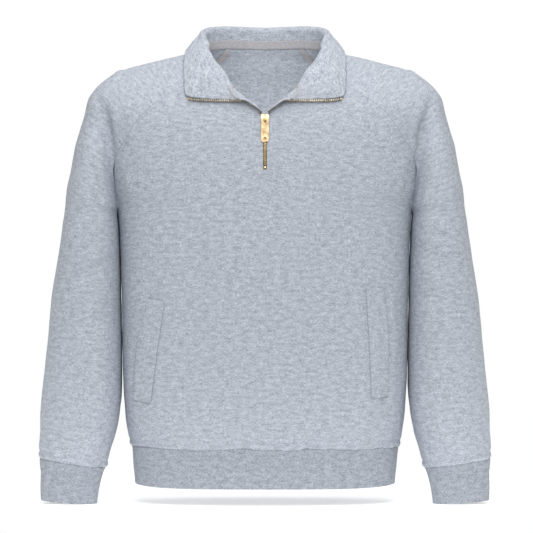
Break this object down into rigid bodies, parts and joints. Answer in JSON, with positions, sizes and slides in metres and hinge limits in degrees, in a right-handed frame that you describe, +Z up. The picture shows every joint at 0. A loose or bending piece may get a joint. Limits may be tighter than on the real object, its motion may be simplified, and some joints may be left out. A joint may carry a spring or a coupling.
{
  "type": "quarter-zip raglan sweatshirt, filled out",
  "caption": "Light grey quarter-zip raglan sweatshirt, filled out as worn: folded-open collar, brass zip, welt pockets, ribbed hem and cuffs.",
  "frame": {"origin": "centre of the neck opening, on the shoulder line, where the wearer's neck and shoulders hold the garment up", "axes": "+Z up towards the collar, -Y out of the chest, +X towards the wearer's left sleeve"},
  "size_m": [0.7122, 0.2263, 0.7604],
  "materials": {
    "fleece": "heather light grey brushed-back jersey, matt",
    "rib": "heather grey 1x1 rib knit, matt",
    "tape": "pale warm grey twill tape, matt",
    "brass": "antique brass, satin"
  },
  "bodies": {
    "garment": {"front": "fleece", "back": "fleece", "sleeve_left": "fleece", "sleeve_right": "fleece", "collar": "fleece", "neck_tape": "tape", "raglan_tape_left": "tape", "raglan_tape_right": "tape", "hem_rib": "rib", "cuff_left": "rib", "cuff_right": "rib", "welt_left": "fleece", "welt_right": "fleece", "pocket_bag_left": "fleece", "pocket_bag_right": "fleece", "zip_row_left": "brass", "zip_row_right": "brass", "zip_chain": "brass", "zip_slider": "brass", "zip_stop_bottom": "brass", "zip_stop_left": "brass", "zip_stop_right": "brass"},
    "pull_tab": {"pull_tab": "brass"}
  },
  "joints": [
    {"name": "pull_tab_swing", "type": "hinge", "parent": "garment", "child": "pull_tab", "pos_m": [0, -0.10839, -0.10253], "axis": [-1, 0, 0], "range_deg": [0, 130]}
  ]
}
